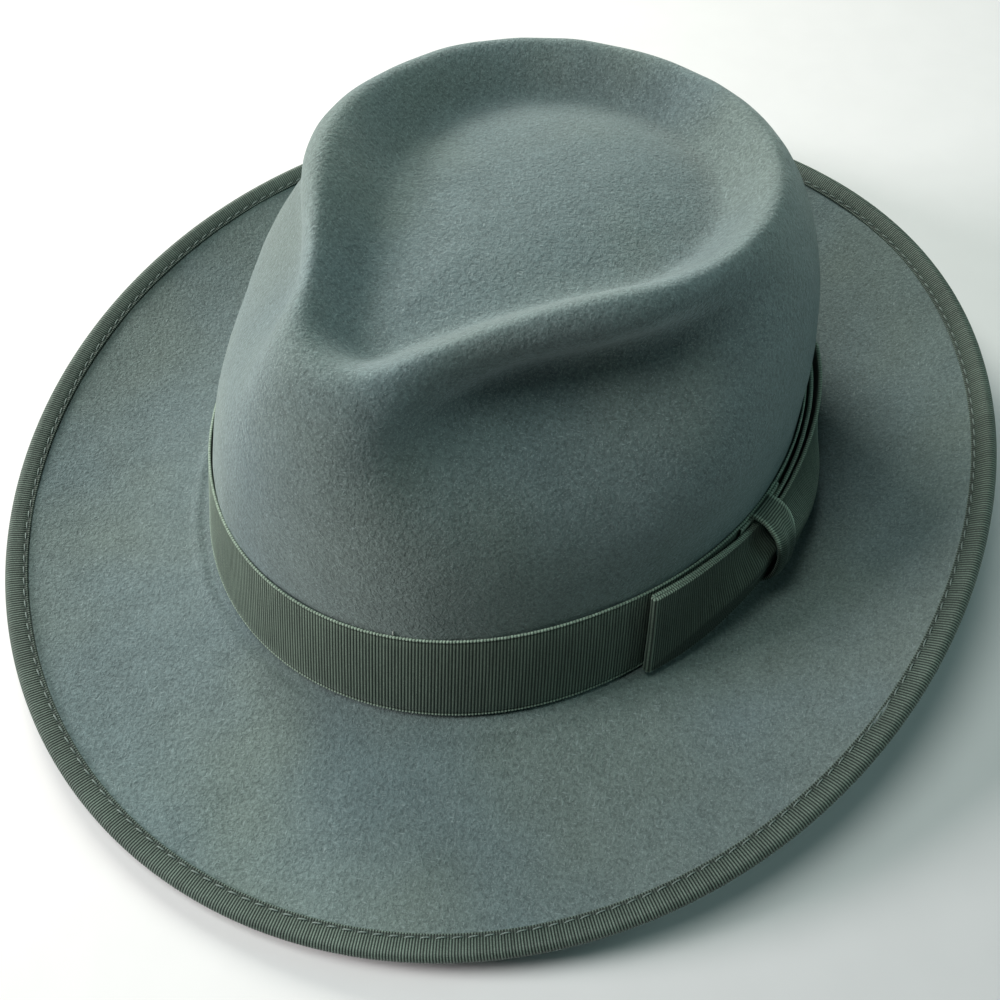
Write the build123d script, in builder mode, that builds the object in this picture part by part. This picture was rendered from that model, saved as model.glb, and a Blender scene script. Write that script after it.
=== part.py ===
from build123d import *
import os
from math import cos, exp, hypot, pi, radians, sin, sqrt

# A fur-felt fedora: one blocked felt body with a teardrop crease and a front pinch, a
# grosgrain band with a flat bow on the wearer's left, a grosgrain binding sewn over the brim
# edge, and the inside of such a hat: leather sweatband with its reed, and a satin lining.
#
# Two frames are used, both in millimetres with +Z up.
#   Hat frame: origin at the middle of the oval where crown meets brim, front towards -Y,
#     the wearer's left towards +X. Every shape formula below works in this frame.
#   World frame: the hat as it stands on a table, on the front of its brim and on the rear
#     of its base. hat_frame is the hat frame's place in it.
# Angles run round the hat from the front: 0 front, 90 wearer's left, 180 back.

# How the hat stands
rest_pitch = 1.8                # the crown leans back by this many degrees at rest
hat_frame = Plane(
    origin=(1.33, 1.67, 5.02),
    x_dir=(1, 0, 0),
    z_dir=(0, sin(radians(rest_pitch)), cos(radians(rest_pitch))),
)

# Crown before creasing: a superelliptic dome on an oval base
base_half_length = 100.9
base_half_width = 87.4
dome_height = 119.7
dome_power = 3.68               # 2 would be an ellipsoid, higher is squarer at the shoulder
dome_taper = 0.125              # part of the width lost at the top
dome_set_back = 16.0            # how far the top's middle lies behind the base's
dome_front_rise = 0.0714        # extra height towards the front, per 100 mm
dome_back_fullness = 0.12       # extra width towards the back, per 100 mm, at the top

# Teardrop crease: its floor is a small front circle and a large rear circle and the
# tangents between them, and its walls rise from that outline
crease_front_radius = 6.55
crease_front_y = -45.65
crease_rear_radius = 45.5
crease_rear_y = 25.5
crease_floor_height = 92.7
crease_floor_pitch = 0.0343     # rise of the floor towards the back
crease_floor_dishing = 0.002    # fall of the floor per square millimetre from its middle
crease_floor_swell = 1.5        # the floor's middle stands up by this much inside its foot
crease_swell_inset = 17.0
crease_wall_slope = 1.43        # rise of the crease wall per millimetre, amidships
crease_wall_steepening = 0.398  # added to that slope per 100 mm towards the back
crease_foot_rounding = 2.8
crest_rounding = 8.6

# Front pinch, the hollow under each side crest, and the fullness below that hollow
pinch_share = 0.44
pinch_y = -52.7
pinch_length = 28.3
pinch_height = 103.1
pinch_rise = 37.8
hollow_share = 0.27             # mean of both sides
hollow_left_extra = 0.12        # deeper by this on the wearer's left, shallower on the right
hollow_blend = 20.0             # distance from the middle over which that change comes in
hollow_y = -34.0
hollow_length = 40.0
hollow_height = 82.5
hollow_tilt = 0.15              # rise of the hollow towards the back
hollow_rise = 11.3
belly_share = 0.045
belly_y = -15.4
belly_length = 41.2
belly_height = 53.9
belly_rise = 13.4
nose_dip = 4.6                  # dip between the two front crests
nose_half_width = 14.7
nose_y = -61.2
nose_length = 14.0
nose_fade_start = 0.5           # height in the dome where the dip begins to act
nose_fade_span = 0.4

# Brim: its mid slope in degrees varies round the hat, and it curls up towards its edge
brim_width = 62.3
brim_mean_slope = 13.1
brim_snap = -14.9               # down in front, up behind
brim_side_roll = -4.7
brim_snap_detail = 1.0
brim_left_lift = 4.8
brim_twist = -3.5
brim_curl = 14.0

# Thicknesses and gaps
felt_thickness = 2.0
ribbon_thickness = 0.8
leather_thickness = 1.0
lining_thickness = 0.5
tape_thickness = 0.5
gap = 0.15                      # between pieces that lie on each other
thread_clearance = 0.05         # between a stitch and the face it lies on

# Grosgrain band and bow
band_bottom = 1.3
band_top = 31.0
bow_fold_front = 67.5           # angles of the bow's front fold, knot and rear fold
bow_knot_angle = 93.0
bow_fold_rear = 134.0
knot_width = 9.0
knot_bottom = 8.0
knot_top = 31.0
knot_proud = 13.0
front_loop_proud = 9.4          # the front loop lies flatter than the rear one
rear_loop_proud = 11.6

# Grosgrain binding over the brim edge
binding_cover = 4.6             # width seen on each face of the brim
binding_pitch = 4.0             # stitch pitch of its seam
stitch_length = 3.1
thread_width = 0.45
stitch_inset = 1.2              # seam's distance from the binding's raw edge

# Inside
sweatband_bottom = 1.4
sweatband_top = 46.0
sweatband_depth = 3.3           # from the outer face of the felt to the back of the leather
reed_radius = 1.0
reed_height = 0.2
tape_bottom = 2.6
tape_top = 10.0
sweat_seam_height = 4.2
sweat_stitch_pitch = 3.4
piping_radius = 1.0

# Numerical settings
ring_points = 72                # points of each closed ring round the hat
brim_steps = 24                 # steps in which the brim's slope is summed


def bump(value, centre, spread):
    return exp(-(((value - centre) / spread) ** 2))


def soft_minimum(first, second, rounding):
    return (first + second - hypot(first - second, rounding)) / 2


def crease_distance(x, y):
    # Distance outwards from the crease floor's teardrop outline, negative inside it
    length = crease_rear_y - crease_front_y
    across = abs(x)
    along = y - crease_front_y
    lean = (crease_front_radius - crease_rear_radius) / length
    upright = sqrt(1 - lean * lean)
    side = along * upright - across * lean
    if side < 0:
        return hypot(across, along) - crease_front_radius
    if side > upright * length:
        return hypot(across, along - length) - crease_rear_radius
    return across * upright + along * lean - crease_front_radius


def crown_point(angle, run):
    # Outer face of the crown: run 0 is the middle of the top, run 1 the foot at the brim
    turn = radians(angle)
    sweep_angle = (1 - run) * pi / 2
    size = (cos(sweep_angle) ** dome_power + sin(sweep_angle) ** dome_power) ** (-1 / dome_power)
    reach = size * cos(sweep_angle)
    rise = size * sin(sweep_angle)
    narrowing = 1 - dome_taper * rise
    x = base_half_width * sin(turn) * reach * narrowing
    y = dome_set_back * rise - base_half_length * cos(turn) * reach * narrowing
    x *= 1 + dome_back_fullness * rise * y / 100
    z = dome_height * rise * (1 - dome_front_rise * y / 100)
    x *= 1 - pinch_share * bump(y, pinch_y, pinch_length) * bump(z, pinch_height, pinch_rise)
    hollow_centre = hollow_height + hollow_tilt * (y - hollow_y)
    hollow = hollow_share + hollow_left_extra * x / hypot(x, hollow_blend)
    x *= 1 - hollow * bump(y, hollow_y, hollow_length) * bump(z, hollow_centre, hollow_rise)
    x *= 1 + belly_share * bump(y, belly_y, belly_length) * bump(z, belly_height, belly_rise)
    fade = min(max((rise - nose_fade_start) / nose_fade_span, 0), 1)
    fade = fade * fade * (3 - 2 * fade)
    z -= nose_dip * bump(x, 0, nose_half_width) * bump(y, nose_y, nose_length) * fade
    floor = crease_floor_height + crease_floor_pitch * y
    floor -= crease_floor_dishing * (x * x + y * y)
    outside = crease_distance(x, y)
    floor += crease_floor_swell * (1 - bump(min(outside, 0), 0, crease_swell_inset))
    slope = crease_wall_slope + crease_wall_steepening * y / 100
    wall = floor + slope * (outside + hypot(outside, crease_foot_rounding)) / 2
    return Vector(x, y, soft_minimum(z, wall, crest_rounding))


def brim_point(angle, reach):
    # Upper face of the brim: reach 0 at the crown, reach 1 at the felt's cut edge
    turn = radians(angle)
    normal = Vector(base_half_length * sin(turn), -base_half_width * cos(turn), 0).normalized()
    slope = brim_mean_slope + brim_snap * cos(turn) + brim_side_roll * cos(2 * turn)
    slope += brim_snap_detail * cos(3 * turn) + brim_left_lift * sin(turn) + brim_twist * sin(2 * turn)
    step = brim_width * reach / brim_steps
    out = 0
    up = 0
    for number in range(brim_steps):
        here = reach * (number + 0.5) / brim_steps
        tilt = radians(slope + brim_curl * (2 * here - 1))
        out += cos(tilt) * step
        up += sin(tilt) * step
    foot = Vector(base_half_width * sin(turn), -base_half_length * cos(turn), 0)
    return foot + normal * out + Vector(0, 0, up)


def felt_point(angle, run):
    if run <= 1:
        return crown_point(angle, run)
    return brim_point(angle, run - 1)


def felt_normal(angle, run):
    # Unit vector out of the felt's outer (upper) face
    turn_step = 0.05
    run_step = 0.001
    low = run
    high = run + run_step
    if run <= 1 or run > 1.5:
        low = run - run_step
        high = run
    if run <= 1:
        around = crown_point(angle + turn_step, run) - crown_point(angle - turn_step, run)
    else:
        around = brim_point(angle + turn_step, run - 1) - brim_point(angle - turn_step, run - 1)
    outward = felt_point(angle, high) - felt_point(angle, low)
    return outward.cross(around).normalized()


def offset_point(angle, run, proud):
    # Proud is measured out of the felt's outer face, so it is negative inside the hat
    return felt_point(angle, run) + felt_normal(angle, run) * proud


def wall_run(angle, height):
    # The run at which the crown's outer face stands at a height above the brim
    low = 0.6
    high = 1.0
    for _ in range(30):
        middle = (low + high) / 2
        if crown_point(angle, middle).Z > height:
            low = middle
        else:
            high = middle
    return (low + high) / 2


def wall_point(angle, height, proud):
    run = wall_run(angle, max(height, 0.5))
    point = offset_point(angle, run, proud)
    return point + Vector(0, 0, height - crown_point(angle, run).Z)


def to_world(point):
    return hat_frame.from_local_coords(point)


def ring(point_at):
    # A closed curve round the hat. All rings share one parametrization, so that a loft
    # through them stays light.
    points = [to_world(point_at(360 * i / ring_points)) for i in range(ring_points)]
    curve = Edge.make_spline(points, periodic=True, parameters=list(range(ring_points + 1)))
    return Wire([curve])


def felt_ring(run, proud=0):
    return ring(lambda angle: offset_point(angle, run, proud))


def wall_ring(height, proud):
    return ring(lambda angle: wall_point(angle, height, proud))


def skin_faces(rings):
    # Each face is straight between two neighbouring rings and smooth round the hat
    return Shell.make_loft(rings, ruled=True).faces()


def ring_solid(outer, inner):
    # A closed band between two skins that run side by side
    faces = skin_faces(outer) + skin_faces(inner)
    faces += skin_faces([outer[0], inner[0]])
    faces += skin_faces([outer[-1], inner[-1]])
    return Solid(Shell(faces))


def dome_solid(outer, inner, top_middle, inner_middle):
    # A closed shell between two skins whose first rings are capped over the middle
    faces = skin_faces(outer) + skin_faces(inner)
    faces += skin_faces([outer[-1], inner[-1]])
    faces.append(Face.make_surface(outer[0], surface_points=[top_middle]))
    faces.append(Face.make_surface(inner[0], surface_points=[inner_middle]))
    return Solid(Shell(faces))


def bead_solid(centre_at, radius, sides=8):
    # A round bead that runs right round the hat
    rings = []
    for number in range(sides):
        direction = 2 * pi * number / sides
        rings.append(ring(lambda angle: centre_at(angle, radius * cos(direction), radius * sin(direction))))
    faces = []
    for number in range(sides):
        faces += skin_faces([rings[number], rings[(number + 1) % sides]])
    return Solid(Shell(faces))


def middle_point(proud):
    near_middle = 0.01
    total = Vector(0, 0, 0)
    for angle in (0, 90, 180, 270):
        total += offset_point(angle, near_middle, proud) / 4
    return to_world(total)


def stitch_places(point_at, normal_at, pitch):
    # Evenly spaced places along a closed seam, each with X along it and Z out of the work
    samples = 720
    points = [point_at(360 * i / samples) for i in range(samples + 1)]
    travelled = [0]
    for i in range(samples):
        travelled.append(travelled[-1] + (points[i + 1] - points[i]).length)
    count = round(travelled[-1] / pitch)
    places = []
    index = 0
    for number in range(count):
        target = travelled[-1] * number / count
        while travelled[index + 1] < target:
            index += 1
        past = (target - travelled[index]) / (travelled[index + 1] - travelled[index])
        angle = 360 * (index + past) / samples
        along = point_at(angle + 0.05) - point_at(angle - 0.05)
        origin = to_world(point_at(angle))
        tip = to_world(point_at(angle) + along)
        out = to_world(point_at(angle) + normal_at(angle)) - origin
        places.append(Plane(origin=origin, x_dir=tip - origin, z_dir=out).location)
    return places


def strip_plane(angle, height, proud):
    # A section plane for a ribbon strip: X through its thickness, Y up its width
    centre = wall_point(angle, height, proud)
    up = (wall_point(angle, height + 1, proud) - wall_point(angle, height - 1, proud)).normalized()
    heading = wall_point(angle + 0.5, height, proud) - wall_point(angle - 0.5, height, proud)
    heading = heading.normalized()
    origin = to_world(centre)
    forward = to_world(centre + heading) - origin
    upward = to_world(centre + up) - origin
    across = upward.cross(forward)
    return Plane(origin=origin, x_dir=across, z_dir=forward)


os.makedirs("parts", exist_ok=True)

# ---------------------------------------------------------------- felt body

top_runs = [0.04 + 0.06 * i for i in range(5)]
crest_runs = [0.32 + 0.02 * i for i in range(14)]
wall_runs = [0.60 + 0.03 * i for i in range(13)]
foot_runs = [0.98, 0.992]
brim_runs = [1.02, 1.05] + [1.12 + 0.08 * i for i in range(12)]
body_runs = top_runs + crest_runs + wall_runs + foot_runs + brim_runs

felt_solid = dome_solid(
    [felt_ring(run) for run in body_runs],
    [felt_ring(run, -felt_thickness) for run in body_runs],
    middle_point(0),
    middle_point(-felt_thickness),
)

with BuildPart() as felt_body:
    add(felt_solid)
felt_body.part.label = "felt_body"
export_step(felt_body.part, "parts/felt_body.step")

# ---------------------------------------------------------------- brim binding

binding_start = 2 - binding_cover / brim_width
edge_radius = felt_thickness / 2


def edge_ring(radius, turn_down):
    # Rings that wrap the cut edge: turn_down 0 is the top of the edge, 180 its underside
    def point_at(angle):
        normal = felt_normal(angle, 2)
        centre = felt_point(angle, 2) - normal * edge_radius
        outward = felt_point(angle, 2) - felt_point(angle, 1.999)
        outward = outward.normalized()
        return centre + normal * radius * cos(radians(turn_down)) + outward * radius * sin(radians(turn_down))

    return ring(point_at)


def binding_rings(clearance):
    flat_runs = [binding_start, binding_start + 0.05, 1.985]
    rings = [felt_ring(run, clearance) for run in flat_runs]
    rings += [edge_ring(edge_radius + clearance, turn) for turn in (30, 60, 90, 120, 150)]
    rings += [felt_ring(run, -felt_thickness - clearance) for run in reversed(flat_runs)]
    return rings


binding_solid = ring_solid(binding_rings(gap + ribbon_thickness), binding_rings(gap))

with BuildPart() as brim_binding:
    add(binding_solid)
brim_binding.part.label = "brim_binding"
export_step(brim_binding.part, "parts/brim_binding.step")

# The two faces of the machine seam that holds the binding
seam_run = binding_start + stitch_inset / brim_width
seam_proud = gap + ribbon_thickness + thread_clearance + thread_width / 2

with BuildPart() as binding_top_stitches:
    with Locations(stitch_places(
        lambda angle: offset_point(angle, seam_run, seam_proud),
        lambda angle: felt_normal(angle, seam_run),
        binding_pitch,
    )):
        Box(stitch_length, thread_width, thread_width)
binding_top_stitches.part.label = "binding_top_stitches"
export_step(binding_top_stitches.part, "parts/binding_top_stitches.step")

with BuildPart() as binding_under_stitches:
    with Locations(stitch_places(
        lambda angle: offset_point(angle, seam_run, -felt_thickness - seam_proud),
        lambda angle: felt_normal(angle, seam_run),
        binding_pitch,
    )):
        Box(stitch_length, thread_width, thread_width)
binding_under_stitches.part.label = "binding_under_stitches"
export_step(binding_under_stitches.part, "parts/binding_under_stitches.step")

# ---------------------------------------------------------------- grosgrain band

band_heights = [band_bottom, 8, 16, 24, band_top]
band_solid = ring_solid(
    [wall_ring(height, gap + ribbon_thickness) for height in band_heights],
    [wall_ring(height, gap) for height in band_heights],
)

with BuildPart() as hat_band:
    add(band_solid)
hat_band.part.label = "hat_band"
export_step(hat_band.part, "parts/hat_band.step")

# The band's free end laps over its start, under the bow
lap_inner = 2 * gap + ribbon_thickness
lap_half_angle = 6
band_middle = (band_bottom + band_top) / 2

with BuildPart() as band_lap:
    for step in range(-2, 3):
        lap_angle = bow_knot_angle + lap_half_angle * step / 2
        with BuildSketch(strip_plane(lap_angle, band_middle, lap_inner + ribbon_thickness / 2)):
            Rectangle(ribbon_thickness, band_top - band_bottom - 1)
    loft()
band_lap.part.label = "band_lap"
export_step(band_lap.part, "parts/band_lap.step")

# Small thread tacks that hold the band's two edges to the felt
tack_angles = (24, 150, 205, 300)
tack_length = 2.0
tack_height = band_top + 1.2

with BuildPart() as band_tacks:
    with Locations([strip_plane(angle, tack_height, gap + thread_width).location for angle in tack_angles]):
        Box(thread_width, tack_length, thread_width)
band_tacks.part.label = "band_tacks"
export_step(band_tacks.part, "parts/band_tacks.step")

# ---------------------------------------------------------------- bow

bow_back = lap_inner + ribbon_thickness + gap      # clear of the lap
loop_back = bow_back + ribbon_thickness + 2 * gap  # clear of the knot's back
loop_half_height = 14.5
loop_fold_bottom = 2.2                  # the loops' edges, at the fold and at the knot
loop_fold_top = 30.4
loop_knot_bottom = 11.5
loop_knot_top = 28.0
fold_radius = 0.9                       # of the ribbon's middle line


def loop_plane(angle):
    # A plan-view plane across the loop, square to the wall where the loop lies
    foot = wall_point(angle, 1, 0)
    up = to_world(wall_point(angle, band_top, 0)) - to_world(foot)
    middle = to_world(wall_point(angle, band_middle, 0))
    return Plane(origin=middle, x_dir=hat_frame.x_dir, z_dir=up)


def loop_outline(plane, knot_angle, fold_angle, loop_proud):
    # The folded ribbon seen from above: out to the fold and back along its outer side, then
    # the same along its inner side
    span = fold_angle - knot_angle
    length = (wall_point(fold_angle, band_middle, 0) - wall_point(knot_angle, band_middle, 0)).length
    back_middle = loop_back + ribbon_thickness / 2
    fold_middle = back_middle + fold_radius
    outline = []
    for half in (ribbon_thickness / 2, -ribbon_thickness / 2):
        side = []
        for share in (0, 0.15, 0.3, 0.45, 0.6, 0.75, 0.9):
            swell = (loop_proud - back_middle - 2 * fold_radius) * cos(share * pi / 2)
            side.append((share, back_middle + 2 * fold_radius + swell + half))
        for turn in (60, 30, 0, -30, -60):
            out = (fold_radius + half) * sin(radians(turn))
            along = (fold_radius + half) * cos(radians(turn))
            side.append((0.97 + along / length, fold_middle + out))
        for share in (0.9, 0.75, 0.6, 0.45, 0.3, 0.15, 0):
            side.append((share, back_middle - half))
        outline += side if half > 0 else reversed(side)
    line = []
    for share, proud in outline:
        local = plane.to_local_coords(to_world(wall_point(knot_angle + span * share, band_middle, proud)))
        line.append((local.X, local.Y))
    return line


def gather_plane(knot_angle, fold_angle, knot_height, fold_height, keep_down):
    # A cut that narrows the loop from its full width at the fold to its gathered width
    knot_end = to_world(wall_point(knot_angle, knot_height, 4))
    fold_end = to_world(wall_point(fold_angle, fold_height, 4))
    outward = to_world(wall_point((knot_angle + fold_angle) / 2, band_middle, 8))
    outward -= to_world(wall_point((knot_angle + fold_angle) / 2, band_middle, 0))
    along = fold_end - knot_end
    normal = along.cross(outward)
    if (normal.Z < 0) == keep_down:
        normal = normal * -1
    return Plane(origin=knot_end, x_dir=along, z_dir=normal)


knot_clear = 0.5                        # degrees between each loop's end and the knot's middle

with BuildPart() as bow_front_loop:
    front_start = bow_knot_angle - knot_clear
    front_plane = loop_plane((bow_knot_angle + bow_fold_front) / 2)
    with BuildSketch(front_plane):
        with BuildLine():
            Polyline(*loop_outline(front_plane, front_start, bow_fold_front, front_loop_proud), close=True)
        make_face()
    extrude(amount=loop_half_height, both=True)
    top_cut = gather_plane(front_start, bow_fold_front, loop_knot_top, loop_fold_top, True)
    bottom_cut = gather_plane(front_start, bow_fold_front, loop_knot_bottom, loop_fold_bottom, False)
    split(bisect_by=top_cut, keep=Keep.BOTTOM)
    split(bisect_by=bottom_cut, keep=Keep.BOTTOM)
bow_front_loop.part.label = "bow_front_loop"
export_step(bow_front_loop.part, "parts/bow_front_loop.step")

with BuildPart() as bow_rear_loop:
    rear_start = bow_knot_angle + knot_clear
    rear_plane = loop_plane((bow_knot_angle + bow_fold_rear) / 2)
    with BuildSketch(rear_plane):
        with BuildLine():
            Polyline(*loop_outline(rear_plane, rear_start, bow_fold_rear, rear_loop_proud), close=True)
        make_face()
    extrude(amount=loop_half_height, both=True)
    top_cut = gather_plane(rear_start, bow_fold_rear, loop_knot_top, loop_fold_top, True)
    bottom_cut = gather_plane(rear_start, bow_fold_rear, loop_knot_bottom, loop_fold_bottom, False)
    split(bisect_by=top_cut, keep=Keep.BOTTOM)
    split(bisect_by=bottom_cut, keep=Keep.BOTTOM)
bow_rear_loop.part.label = "bow_rear_loop"
export_step(bow_rear_loop.part, "parts/bow_rear_loop.step")

# The knot: a short ribbon wrapped round both loops, a flat ring seen from the front
knot_middle_height = (knot_bottom + knot_top) / 2
knot_depth = knot_proud - bow_back
knot_rounding = 3.0

with BuildPart() as bow_knot:
    knot_plane = strip_plane(bow_knot_angle, knot_middle_height, bow_back + knot_depth / 2)
    with BuildSketch(knot_plane):
        RectangleRounded(knot_depth, knot_top - knot_bottom, knot_rounding)
        offset(amount=-ribbon_thickness, mode=Mode.SUBTRACT)
    extrude(amount=knot_width / 2, both=True)
bow_knot.part.label = "bow_knot"
export_step(bow_knot.part, "parts/bow_knot.step")

# ---------------------------------------------------------------- sweatband

leather_face = -sweatband_depth - leather_thickness
leather_heights = [sweatband_bottom, 10, 20, 30, 38, sweatband_top]
sweatband_solid = ring_solid(
    [wall_ring(height, -sweatband_depth) for height in leather_heights],
    [wall_ring(height, leather_face) for height in leather_heights],
)

with BuildPart() as sweatband:
    add(sweatband_solid)
sweatband.part.label = "sweatband"
export_step(sweatband.part, "parts/sweatband.step")

# The reed is the bead that stiffens the sweatband's sewn lower edge
reed_depth = sweatband_depth + leather_thickness / 2
reed_solid = bead_solid(
    lambda angle, out, up: wall_point(angle, reed_height + up, out - reed_depth),
    reed_radius,
)

with BuildPart() as sweatband_reed:
    add(reed_solid)
sweatband_reed.part.label = "sweatband_reed"
export_step(sweatband_reed.part, "parts/sweatband_reed.step")

# The tape behind the leather, through which the sweatband is sewn to the felt
tape_heights = [tape_bottom, (tape_bottom + tape_top) / 2, tape_top]
tape_out = -felt_thickness - 2 * gap
tape_solid = ring_solid(
    [wall_ring(height, tape_out) for height in tape_heights],
    [wall_ring(height, tape_out - tape_thickness) for height in tape_heights],
)

with BuildPart() as reed_tape:
    add(tape_solid)
reed_tape.part.label = "reed_tape"
export_step(reed_tape.part, "parts/reed_tape.step")

sweat_seam_proud = leather_face - thread_clearance - thread_width / 2

with BuildPart() as sweatband_stitches:
    with Locations(stitch_places(
        lambda angle: wall_point(angle, sweat_seam_height, sweat_seam_proud),
        lambda angle: felt_normal(angle, wall_run(angle, sweat_seam_height)),
        sweat_stitch_pitch,
    )):
        Box(stitch_length * 0.8, thread_width, thread_width)
sweatband_stitches.part.label = "sweatband_stitches"
export_step(sweatband_stitches.part, "parts/sweatband_stitches.step")

# A small flat bow sewn over the sweatband's seam, at the back of the head
seam_angle = 180
small_bow_height = 12
small_bow_back = -leather_face + 0.1
small_loop_length = 9
small_ribbon_width = 6
small_loop_depth = 1.8
small_loop_spacing = 1.2                # between the two loops, where they are sewn
small_bow_depth = small_bow_back + small_loop_depth / 2 + ribbon_thickness
small_bow_strip = strip_plane(seam_angle, small_bow_height, -small_bow_depth)
small_bow_plan = Plane(
    origin=small_bow_strip.origin,
    x_dir=small_bow_strip.z_dir,
    z_dir=small_bow_strip.y_dir,
)

with BuildPart() as sweatband_bow:
    for side in (-1, 1):
        with BuildSketch(small_bow_plan):
            with Locations((side * (small_loop_length + small_loop_spacing) / 2, 0)):
                Ellipse(small_loop_length / 2, small_loop_depth / 2)
        extrude(amount=small_ribbon_width / 2, both=True)
sweatband_bow.part.label = "sweatband_bow"
export_step(sweatband_bow.part, "parts/sweatband_bow.step")

# ---------------------------------------------------------------- lining

lining_out = -felt_thickness - 2 * gap
lining_in = lining_out - lining_thickness
side_runs = wall_runs[:-1]
side_lining_solid = ring_solid(
    [felt_ring(run, lining_out) for run in side_runs],
    [felt_ring(run, lining_in) for run in side_runs],
)

with BuildPart() as lining_side:
    add(side_lining_solid)
lining_side.part.label = "lining_side"
export_step(lining_side.part, "parts/lining_side.step")

tip_runs = top_runs + crest_runs
tip_solid = dome_solid(
    [felt_ring(run, lining_out) for run in tip_runs],
    [felt_ring(run, lining_in) for run in tip_runs],
    middle_point(lining_out),
    middle_point(lining_in),
)

with BuildPart() as lining_tip:
    add(tip_solid)
lining_tip.part.label = "lining_tip"
export_step(lining_tip.part, "parts/lining_tip.step")

# The piping covers the seam between side lining and tip, just below the crest
piping_run = (crest_runs[-1] + wall_runs[0]) / 2
piping_depth = -lining_in + gap + piping_radius
piping_run_step = 1 / 190                # run covered by a millimetre along the wall
piping_solid = bead_solid(
    lambda angle, out, along: offset_point(angle, piping_run + along * piping_run_step, out - piping_depth),
    piping_radius,
)

with BuildPart() as lining_piping:
    add(piping_solid)
lining_piping.part.label = "lining_piping"
export_step(lining_piping.part, "parts/lining_piping.step")
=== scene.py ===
import math

import bpy
import numpy as np
from mathutils import Matrix, Vector


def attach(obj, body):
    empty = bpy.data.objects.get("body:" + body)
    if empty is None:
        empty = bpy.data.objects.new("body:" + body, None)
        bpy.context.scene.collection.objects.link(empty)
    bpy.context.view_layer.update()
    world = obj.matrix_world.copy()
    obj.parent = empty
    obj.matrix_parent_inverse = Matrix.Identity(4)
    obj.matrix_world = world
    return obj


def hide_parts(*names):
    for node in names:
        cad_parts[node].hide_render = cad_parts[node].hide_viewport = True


# The looks of a fur-felt fedora. Shapes are worked out in millimetres in the hat's own frame
# (origin in the middle of the oval where crown meets brim, front towards -Y, wearer's left
# towards +X) and put into the part's frame in metres by to_world(). Angles run round the hat
# from the front: 0 front, 90 wearer's left, 180 back.

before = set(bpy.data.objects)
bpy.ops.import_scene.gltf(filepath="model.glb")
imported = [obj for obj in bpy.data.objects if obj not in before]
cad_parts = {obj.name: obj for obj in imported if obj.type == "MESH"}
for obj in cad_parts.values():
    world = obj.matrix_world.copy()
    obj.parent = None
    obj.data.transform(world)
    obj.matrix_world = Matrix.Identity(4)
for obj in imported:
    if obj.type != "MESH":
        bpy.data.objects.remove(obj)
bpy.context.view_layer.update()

# --- dimensions

MM = 0.001

# How the hat rests in the part's frame: tipped backwards, about this origin
REST_PITCH = math.radians(1.8)
HAT_ORIGIN = (1.33, 1.67, 5.02)

BASE_HALF_LENGTH = 100.9
BASE_HALF_WIDTH = 87.4
DOME_HEIGHT = 119.7
DOME_POWER = 3.68
DOME_TAPER = 0.125
DOME_SET_BACK = 16.0
DOME_FRONT_RISE = 0.0714
DOME_BACK_FULLNESS = 0.12

CREASE_FRONT_RADIUS = 6.55
CREASE_FRONT_Y = -45.65
CREASE_REAR_RADIUS = 45.5
CREASE_REAR_Y = 25.5
CREASE_FLOOR_HEIGHT = 92.7
CREASE_FLOOR_PITCH = 0.0343
CREASE_FLOOR_DISHING = 0.002
CREASE_FLOOR_SWELL, CREASE_SWELL_INSET = 1.5, 17.0
CREASE_WALL_SLOPE = 1.43
CREASE_WALL_STEEPENING = 0.398
CREASE_FOOT_ROUNDING = 2.8
CREST_ROUNDING = 8.6

PINCH_SHARE, PINCH_Y, PINCH_LENGTH, PINCH_HEIGHT, PINCH_RISE = 0.44, -52.7, 28.3, 103.1, 37.8
HOLLOW_SHARE, HOLLOW_LEFT_EXTRA, HOLLOW_Y, HOLLOW_LENGTH = 0.27, 0.12, -34.0, 40.0
HOLLOW_HEIGHT, HOLLOW_TILT, HOLLOW_RISE, HOLLOW_BLEND = 82.5, 0.15, 11.3, 20.0
BELLY_SHARE, BELLY_Y, BELLY_LENGTH, BELLY_HEIGHT, BELLY_RISE = 0.045, -15.4, 41.2, 53.9, 13.4
NOSE_DIP, NOSE_HALF_WIDTH, NOSE_Y, NOSE_LENGTH = 4.6, 14.7, -61.2, 14.0
NOSE_FADE_START, NOSE_FADE_SPAN = 0.5, 0.4

BRIM_WIDTH = 62.3
BRIM_MEAN_SLOPE = 13.1
BRIM_SNAP = -14.9
BRIM_SIDE_ROLL = -4.7
BRIM_SNAP_DETAIL = 1.0
BRIM_LEFT_LIFT = 4.8
BRIM_TWIST = -3.5
BRIM_CURL = 14.0
BRIM_STEPS = 24

FELT_THICKNESS = 2.0
FELT_INNER_FACE = 0.1 - FELT_THICKNESS
RIBBON_THICKNESS = 0.62

# The unevenness of the felt: height, size from swell to swell, seed
FELT_SWELLS = ((0.22, 42, 3), (0.07, 13, 5))
# Ridge and groove round the band's foot: height, distance out from the crown, spread
FOOT_RIDGES = ((0.55, 5.4, 1.9), (-0.25, 2.9, 1.3))
RIDGE_ANGLE, RIDGE_SPREAD, RIDGE_LEAST = -35, 75, 0.35
# Painted light on the felt: a painted highlight on the crest and painted shade in the hollow, then painted
# light on two sides of the brim: amount, angle, spread
CREST_PAINTED_HIGHLIGHT, CREST_SPREAD, HOLLOW_PAINTED_SHADE = 0.16, 9.0, 0.10
BRIM_PAINTED_LIGHT = ((0.17, 5, 50), (0.18, 98, 30))
CROWN_PAINTED_LIGHT_FADE, BRIM_PAINTED_LIGHT_FADE = 0.05, 0.3

BAND_BOTTOM = 1.3
BAND_TOP = 31.0
BAND_MIDDLE = 16.0
BAND_RIB_PITCH = 0.9
BAND_RIB_DEPTH = 0.22
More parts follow.
